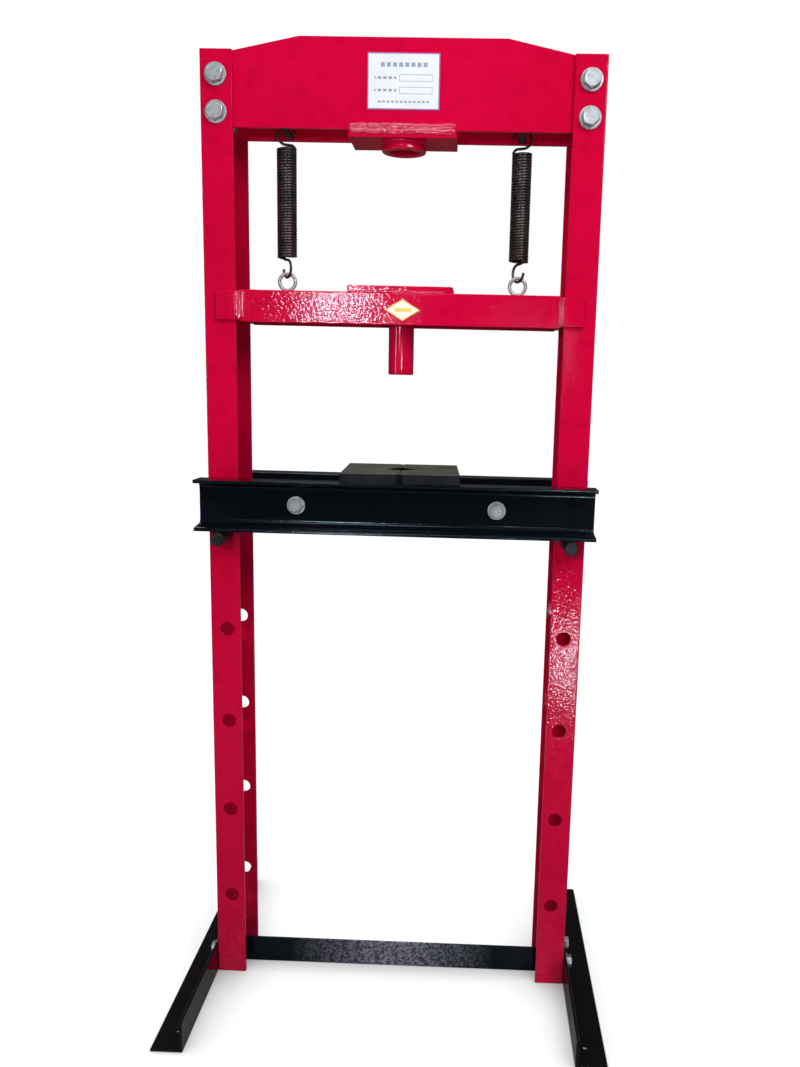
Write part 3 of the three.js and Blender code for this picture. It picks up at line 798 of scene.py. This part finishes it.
def add_base_crossbar():
    """An angle with a plate and a weld at each end."""
    node = "base_crossbar"
    low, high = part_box(node)
    inner = high.x - CROSSBAR_PLATE
    bm = bmesh.new()
    prism(bm, angle_outline(CROSSBAR_LEG, FOOT_THICKNESS), 2 * inner, Y, Z,
          Vector((0, CROSSBAR_FRONT, low.z)))
    holes = []
    for side in SIDES.values():
        ends = sorted((side * inner, side * high.x))
        plate(bm, Vector((ends[0], low.y, FOOT_THICKNESS)), Vector((ends[1], high.y, high.z)))
        holes += foot_bolt_holes(side * (inner + CROSSBAR_PLATE / 2), CROSSBAR_PLATE)
    # The crossbar's middle carries a painted highlight with some dust.
    stand_in(bm, node, "black_paint", 0.6 * MM, holes, material="black_glare_and_dust")
    for name, side in SIDES.items():
        foot = Vector((side * (inner - 1.5 * MM), CROSSBAR_FRONT - 0.5 * MM, 0))
        bm = bmesh.new()
        weld(bm, [foot + Z * 6 * MM, foot + Z * 43 * MM], 2.6 * MM)
        extra(bm, f"{name}_crossbar_weld", "black_paint", "frame")


def add_bed_channels():
    bolts = [middle(f"{side}_bed_bolt") for side in SIDES]
    for end, way in ENDS.items():
        node = f"{end}_bed_channel"
        low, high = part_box(node)
        back = min(abs(low.y), abs(high.y))
        outline = channel_outline(high.z - low.z, high.y - low.y, BED_WEB, tip=5.5 * MM,
                                  root=8.6 * MM, fillet=8.5 * MM, corner=1.2 * MM,
                                  toe=0.5 * MM, inner_toe=4.4 * MM)
        bm = bmesh.new()
        prism(bm, outline, high.x - low.x, Z, Y * way,
              Vector((0, way * back, (low.z + high.z) / 2)))
        holes = [(Vector((bolt.x, way * (back + BED_WEB / 2), bolt.z)), Y,
                  SMALL_HOLE_RADIUS, BED_WEB) for bolt in bolts]
        stand_in(bm, node, "black_paint", 0.5 * MM, holes)


def add_press_plates():
    """Two thick plates side by side, whose facing notches make a square opening."""
    turn = Matrix.Rotation(PLATE_TURN, 4, "Z")
    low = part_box("left_press_plate")[0]
    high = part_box("right_press_plate")[1]
    centre = (low + high) / 2
    near, width, half, notch, chamfer = 0.15 * MM, 92.4 * MM, 95 * MM, 26.5 * MM, 5.5 * MM
    far = near + width
    corners = [(near + chamfer, -half, 0), (far, -half, 0), (far, half, 0),
               (near + chamfer, half, 0), (near, half - chamfer, 0), (near, notch - near, 0),
               (notch, 0, 0), (near, near - notch, 0), (near, chamfer - half, 0)]
    for name, side in SIDES.items():
        bm = bmesh.new()
        prism(bm, rounded(corners), high.z - low.z, X * side, Y, Vector((0, 0, 0)))
        bm.transform(Matrix.Translation(centre) @ turn)
        stand_in(bm, f"{name}_press_plate", "plate_steel", 0.9 * MM)


def add_beam():
    node = "ram_beam_channel"
    low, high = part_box(node)
    outline = channel_outline(high.y - low.y, high.z - low.z, BEAM_WEB, tip=7 * MM, root=7 * MM,
                              fillet=4.5 * MM, corner=2.2 * MM)
    bm = bmesh.new()
    prism(bm, outline, high.x - low.x, Y, Z * -1, Vector((0, 0, high.z)))
    holes = [(Vector((middle(f"{side}_eye_bolt").x, 0, high.z - BEAM_WEB / 2)), Z,
              EYE_HOLE_RADIUS, BEAM_WEB) for side in SIDES]
    stand_in(bm, node, "red_paint", 0.7 * MM, holes)


def add_jack_plate():
    low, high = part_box("jack_base_plate")
    chamfer = 5 * MM
    corners = [(low.x, low.y, 0), (high.x - chamfer, low.y, 0), (high.x, low.y + chamfer, 0),
               (high.x, high.y - chamfer, 0), (high.x - chamfer, high.y, 0), (low.x, high.y, 0)]
    bm = bmesh.new()
    prism(bm, rounded(corners), high.z - low.z, X, Y, Vector((0, 0, (low.z + high.z) / 2)))
    stand_in(bm, "jack_base_plate", "red_paint", 1.0 * MM)


def bar(node, slot, axis, chamfer, material=None):
    """A round bar that fills its CAD node's box, chamfered at both ends."""
    low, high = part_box(node)
    size = high - low
    length = abs(size.dot(axis))
    radius = (max(size) if length < max(size) else sorted(size)[1]) / 2
    half = length / 2
    bm = bmesh.new()
    lathe(bm, [(radius - chamfer, -half), (radius, chamfer - half), (radius, half - chamfer),
               (radius - chamfer, half)], 64)
    move(bm, (low + high) / 2, axis)
    stand_in(bm, node, slot, 0.35 * MM, angle=25, material=material)


# ---- Fasteners ----

CHAMFER_SHARE = 0.47          # where a hexagon's chamfer starts, in widths across the flats
HEAD_BOLT = {"flats": 24 * MM, "head": 10 * MM, "washer_radius": 16.5 * MM,
             "washer_thickness": 3 * MM, "radius": 8 * MM}
SMALL_BOLT = {"flats": 19 * MM, "head": 8 * MM, "washer_radius": 14.5 * MM,
              "washer_thickness": 2.5 * MM, "radius": 6 * MM}


def hexagon_ring(flats, z_of, count=72):
    """A ring round a hexagon; z_of gives the height from the distance to the axis."""
    ring = []
    for k in range(count):
        angle = 2 * math.pi * k / count
        off = (angle + math.pi / 6) % (math.pi / 3) - math.pi / 6
        radius = flats / 2 / math.cos(off)
        ring.append(Vector((radius * math.cos(angle), radius * math.sin(angle), z_of(radius))))
    return ring


def chamfer_height(flats, top, sign):
    """Height of a 30 degree turned chamfer on a hexagon, falling away past its flats."""
    start = CHAMFER_SHARE * flats
    return lambda radius: top - sign * (radius - start) * math.tan(math.radians(30))


def hex_head(bm, flats, bottom, top):
    """A hexagon head with a chamfered rim and a shallow dish in its top."""
    dish_depth = 0.35 * MM
    loft(bm, [hexagon_ring(flats, lambda radius: bottom),
              hexagon_ring(flats, chamfer_height(flats, top, 1)),
              circle(CHAMFER_SHARE * flats, top), circle(0.40 * flats, top),
              circle(0.37 * flats, top - dish_depth)])


def hex_nut(bm, flats, bottom, top, bore_radius):
    """A hexagon nut, chamfered outside and round both mouths of its bore."""
    ease = 0.9 * MM
    mouth = bore_radius + ease
    loft(bm, [circle(CHAMFER_SHARE * flats, bottom),
              hexagon_ring(flats, chamfer_height(flats, bottom, -1)),
              hexagon_ring(flats, chamfer_height(flats, top, 1)),
              circle(CHAMFER_SHARE * flats, top), circle(mouth, top),
              circle(bore_radius, top - ease), circle(bore_radius, bottom + ease),
              circle(mouth, bottom)], closed=True)


def washer(bm, radius, hole, thickness):
    """A stamped washer with a rolled outer edge, its underside on z = 0."""
    edge = 0.7 * MM
    lathe(bm, [(hole, 0), (radius - 0.3 * MM, 0), (radius, 0.3 * MM), (radius, thickness - edge),
               (radius - 0.3 * edge, thickness - 0.3 * edge), (radius - edge, thickness),
               (hole + 0.4 * MM, thickness), (hole, thickness - 0.4 * MM)], 64, closed=True)


def threaded(bm, radius, start, stop, pitch):
    """A threaded shank from start up to stop along Z."""
    depth = 0.55 * pitch
    profile = [(radius - depth, start), (radius, start + depth)]
    z = start + depth
    while z + 2 * pitch < stop:
        profile += [(radius - depth, z + pitch / 2), (radius, z + pitch)]
        z += pitch
    profile += [(radius, stop - depth), (radius - depth, stop)]
    lathe(bm, profile, 40)


def oriented(draw, sizes, at, direction, spin=0.0):
    """A mesh that draw makes about +Z from its sizes, turned towards direction at its place."""
    bm = bmesh.new()
    draw(bm, *sizes)
    move(bm, at, direction, spin)
    return bm


def add_washer(node, under, direction, washer_radius, washer_thickness, radius):
    """The washer of a bolt, as a piece of its own that clears the shank and the head."""
    sizes = (washer_radius, radius + 0.4 * MM, washer_thickness - 0.05 * MM)
    extra(oriented(washer, sizes, under, direction), f"{node}.washer", "zinc", body_of(node))


def add_bolt(node, direction, flats, head, washer_radius, washer_thickness, radius):
    """A hexagon bolt in its node's box, pointing out along direction, with its washer apart."""
    low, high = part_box(node)
    centre = (low + high) / 2
    length = abs((high - low).dot(direction))
    top = centre + direction * length / 2
    under = top - direction * (head + washer_thickness)
    spin = random.uniform(0, math.pi / 3)
    shank = length - head - washer_thickness
    pitch = 0.26 * radius
    bm = oriented(hex_head, (flats, washer_thickness, washer_thickness + head), under,
                  direction, spin)
    join_into(bm, oriented(threaded, (radius, -shank, washer_thickness + MM, pitch), under,
                           direction))
    stand_in(bm, node, "zinc", 0.25 * MM, angle=28, segments=2)
    add_washer(node, under, direction, washer_radius, washer_thickness, radius)


def add_nut(node, direction, flats, radius):
    """A hexagon nut in its node's box, for a bolt of the given radius."""
    low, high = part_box(node)
    height = abs((high - low).dot(direction))
    base = (low + high) / 2 - direction * height / 2
    spin = random.uniform(0, math.pi / 3)
    bm = oriented(hex_nut, (flats, 0, height, radius + 0.3 * MM), base, direction, spin)
    stand_in(bm, node, "zinc", 0.2 * MM, angle=28, segments=2)


def add_head_bolts():
    for end, way in ENDS.items():
        for side in SIDES:
            for level in LEVELS:
                corner = f"{end}_{side}_{level}"
                add_bolt(f"head_bolt_{corner}", Y * way, **HEAD_BOLT)
                add_nut(f"head_nut_{corner}", Y * -way, HEAD_BOLT["flats"], HEAD_BOLT["radius"])


def add_bed_bolts():
    """The two through bolts that hold the bed's channels against their spacer tubes."""
    for side in SIDES:
        add_bolt(f"{side}_bed_bolt", Y * -1, **SMALL_BOLT)
        add_nut(f"{side}_bed_nut", Y, SMALL_BOLT["flats"], SMALL_BOLT["radius"])
        low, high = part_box(f"{side}_bed_spacer")
        half = (high.y - low.y) / 2
        outer, inner, edge = (high.z - low.z) / 2, SMALL_HOLE_RADIUS, 0.5 * MM
        bm = bmesh.new()
        lathe(bm, [(inner, edge - half), (inner + edge, -half), (outer - edge, -half),
                   (outer, edge - half), (outer, half - edge), (outer - edge, half),
                   (inner + edge, half), (inner, half - edge)], closed=True)
        move(bm, (low + high) / 2, Y)
        stand_in(bm, f"{side}_bed_spacer", "black_paint", 0)


def add_foot_bolts():
    """Each foot bolt is one node with its nut, which sits on the inside of the end plate."""
    flats, head, washer_radius, thick, radius = SMALL_BOLT.values()
    nut, pitch = 10 * MM, 1.6 * MM
    plate_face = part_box("base_crossbar")[1].x - CROSSBAR_PLATE - NODE_GAP
    for side, way in SIDES.items():
        for end in ENDS:
            node = f"foot_bolt_{side}_{end}"
            low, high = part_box(node)
            centre = (low + high) / 2
            out = X * way
            reach = max(abs(low.x), abs(high.x))
            under = Vector((way * (reach - head - thick), centre.y, centre.z))
            tip = reach - head - thick - min(abs(low.x), abs(high.x))
            nut_top = abs(under.x) - plate_face
            spin = random.uniform(0, math.pi / 3)
            bm = oriented(hex_head, (flats, thick, thick + head), under, out, spin)
            join_into(bm, oriented(threaded, (radius, -tip, thick + MM, pitch), under, out))
            nut_sizes = (flats, -nut_top - nut, -nut_top, radius - 0.1 * MM)
            join_into(bm, oriented(hex_nut, nut_sizes, under, out, spin + 0.4))
            stand_in(bm, node, "zinc", 0.25 * MM, angle=28, segments=2)
            add_washer(node, under, out, washer_radius, thick, radius)


def add_eye_bolts():
    """A round eye on a threaded shank for each spring, with the nut that holds it."""
    wire, count = 2.75 * MM, 72
    nut_flats, shank_radius, pitch = 13 * MM, 4 * MM, 1.25 * MM
    for side in SIDES:
        node = f"{side}_eye_bolt"
        low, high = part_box(node)
        centre_x = (low.x + high.x) / 2
        ring = (high.x - low.x) / 2 - wire
        centre = Vector((centre_x, 0, high.z - wire - ring))
        turns = [2 * math.pi * k / count for k in range(count)]
        path = [centre + ring * Vector((math.sin(a), 0, math.cos(a))) for a in turns]
        bm = bmesh.new()
        sweep(bm, path, [wire] * count, 18, closed=True)
        shank_top = centre.z - ring - low.z + 1.2 * MM
        join_into(bm, oriented(threaded, (shank_radius, 0, shank_top, pitch),
                               (centre_x, 0, low.z), Z))
        stand_in(bm, node, "zinc", 0)
        add_nut(f"{side}_eye_nut", Z * -1, nut_flats, shank_radius)


# ---- Welds ----

def weld(bm, points, radius, ripple=3.2 * MM):
    """A weld bead along a line: overlapping ripples, a little uneven in width and height."""
    step = 0.55 * MM
    line = smooth_path(points, step)
    path, radii = [], []
    for i, point in enumerate(line):
        wave = 0.03 * math.cos(2 * math.pi * step * i / ripple)
        lump = 0.24 * noise.noise(point * 140) + 0.16 * noise.noise(point * 330)
        ends = min(1.0, 0.45 + 0.25 * min(i, len(line) - 1 - i))
        radii.append(radius * (1 + wave + lump) * ends)
        wander = Vector((noise.noise(point * 90), 0, noise.noise(point * 90 + Z)))
        path.append(point + 0.4 * radius * wander)
    sweep(bm, path, radii, 14)


def add_weld(name, points, radius, body, squash=0.5):
    """A red weld; squash flattens it along Y towards its line."""
    bm = bmesh.new()
    weld(bm, [Vector(p) for p in points], radius)
    line = Matrix.Translation((0, points[0][1], 0))
    bm.transform(line @ Matrix.Diagonal((1, squash, 1, 1)) @ line.inverted())
    extra(bm, name, "red_paint", body, "red_weld")


def ring_points(centre, radius, count=25):
    """Points once round a level circle, the last on the first."""
    return [centre + radius * Vector((math.cos(a), math.sin(a), 0))
            for a in (2 * math.pi * k / (count - 1) for k in range(count))]


def add_thrust_welds():
    """Two rows along the front and rear of the thrust plate, and a ring round the socket."""
    low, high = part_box("thrust_plate")
    for end, way in ENDS.items():
        face = way * high.y
        for row, lift in (("low", -1.5 * MM), ("high", 5.6 * MM)):
            add_weld(f"thrust_weld_{end}_{row}", [(low.x + 2 * MM, face, high.z + lift),
                                                 (high.x - 2 * MM, face, high.z + lift)], 4.3 * MM,
                     "frame")
    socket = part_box("jack_socket")[1]
    add_weld("socket_weld", ring_points(Vector((0, 0, low.z - MM)), socket.x), 1.6 * MM,
             "frame", 1)


def add_beam_welds():
    """Beads round the ram, along the jack plate and up the corners of the end plates."""
    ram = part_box("ram")[1]
    add_weld("ram_weld", ring_points(Vector((0, 0, ram.z - MM)), ram.x + 0.8 * MM), 2.8 * MM,
             "ram_beam", 1)
    low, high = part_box("jack_base_plate")
    for end, way in ENDS.items():
        add_weld(f"jack_plate_weld_{end}", [(low.x + 12 * MM, way * high.y, low.z + 0.6 * MM),
                                            (high.x - 14 * MM, way * high.y, low.z + 0.6 * MM)],
                 1.9 * MM, "ram_beam")
    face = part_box("ram_beam_channel")[1].y
    for side, way in SIDES.items():
        low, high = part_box(f"{side}_beam_end_plate")
        outer, inner = max(abs(low.x), abs(high.x)), min(abs(low.x), abs(high.x))
        beads = {"outer": (outer - MM, face + 4.6 * MM),
                 "middle": (inner + 0.5 * MM, face + 1.6 * MM)}
        if side == "left":
            beads["inner"] = (inner - 4.8 * MM, face)
        for end, back in ENDS.items():
            for bead, (x, y) in beads.items():
                add_weld(f"beam_weld_{end}_{side}_{bead}", [(way * x, back * y, low.z + 3 * MM),
                                                            (way * x, back * y, high.z - MM)],
                         2.9 * MM, "ram_beam")


# ---- Return springs ----

COIL_RADIUS, WIRE_RADIUS, COILS = 13.4 * MM, 2.1 * MM, 38
SPRING_TOP, SPRING_BOTTOM = 1369 * MM, 1204.5 * MM
UPPER_HOOK = {"z": 1386.7 * MM, "headings": {"left": 180, "right": 0}}
LOWER_HOOK = {"z": 1189.9 * MM, "headings": {"left": -55, "right": 125}}


def hook_points(x, hook, side, body_way):
    """From the last coil across the spring's end and three quarters of the way round.

    body_way is 1 where the coils are above the hook and -1 where they are below it.
    """
    heading = math.radians(hook["headings"][side])
    out = Vector((math.cos(heading), math.sin(heading), 0))

    def point(outward, towards_body):
        return Vector((x, 0, hook["z"])) + out * outward + Z * body_way * towards_body

    r = COIL_RADIUS
    points = [point(-0.74 * r, r + 1.7 * MM), point(-0.36 * r, r + 0.5 * MM)]
    for turn in range(0, 271, 15):
        angle = math.radians(turn)
        points.append(point(r * math.sin(angle), r * math.cos(angle)))
    return points, heading


def spring_path(side, x):
    """The wire's line: the lower hook from its tip, the coils and the upper hook."""
    lower, lower_heading = hook_points(x, LOWER_HOOK, side, 1)
    upper, upper_heading = hook_points(x, UPPER_HOOK, side, -1)
    bottom, top = SPRING_BOTTOM + WIRE_RADIUS, SPRING_TOP - WIRE_RADIUS
    start = lower_heading + math.pi - 0.15
    finish = upper_heading + math.pi + 0.15
    turns = COILS + ((finish - start) / (2 * math.pi)) % 1
    count = round(turns * 24)
    coil = []
    for k in range(count + 1):
        share = k / count
        angle = start + 2 * math.pi * turns * share
        coil.append(Vector((x + COIL_RADIUS * math.cos(angle), COIL_RADIUS * math.sin(angle),
                            bottom + (top - bottom) * share)))
    return list(reversed(lower)) + coil + upper


def add_springs():
    for side in SIDES:
        node = f"{side}_return_spring"
        x = middle(f"{side}_spring_rod").x
        path = smooth_path(spring_path(side, x), 1.6 * MM)
        bm = bmesh.new()
        sweep(bm, path, [WIRE_RADIUS] * len(path), 10)
        made = to_object(bm, node + ".detail")
        for face in made.data.polygons:
            face.use_smooth = True
        made.data.materials.append(MATERIALS["spring_steel"])
        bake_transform(made)
        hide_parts(node)


# ---- Diamond plate ----

def add_diamond():
    low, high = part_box("diamond_plate")
    half = (high - low) / 2
    outline = [Vector((-half.x, 0)), Vector((0, -half.z)), Vector((half.x, 0)), Vector((0, half.z))]
    bm = bmesh.new()
    prism(bm, outline, 2 * half.y, X, Z, middle("diamond_plate"))
    stand_in(bm, "diamond_plate", "yellow_label", 0.1 * MM)


# ---- Assembly ----

add_camera()
add_lights()
add_world()
add_floor()
MATERIALS = make_materials()

add_uprights()
add_head_plates()
add_plate("thrust_plate", "red_paint", 1.0 * MM)
add_socket()
for side_name in SIDES:
    bar(f"{side_name}_spring_rod", "dark_steel", Y, 0.8 * MM)
    bar(f"{side_name}_support_pin", "dark_steel", Y, 1.5 * MM)
    add_plate(f"{side_name}_beam_end_plate", "red_paint", 0.9 * MM)
    for end_name in ENDS:
        add_plate(f"guide_tab_{end_name}_{side_name}", "red_paint", 0.9 * MM)
add_head_bolts()
add_plate("rating_plate", "label", 0.2 * MM)
add_feet()
add_foot_bolts()
add_base_crossbar()
add_bed_channels()
add_bed_bolts()
add_press_plates()
add_beam()
add_jack_plate()
bar("ram", "red_paint", Z, 1.5 * MM, "red_turned")
add_eye_bolts()
add_thrust_welds()
add_beam_welds()
add_springs()
add_diamond()

bpy.context.scene.view_settings.view_transform = "Standard"
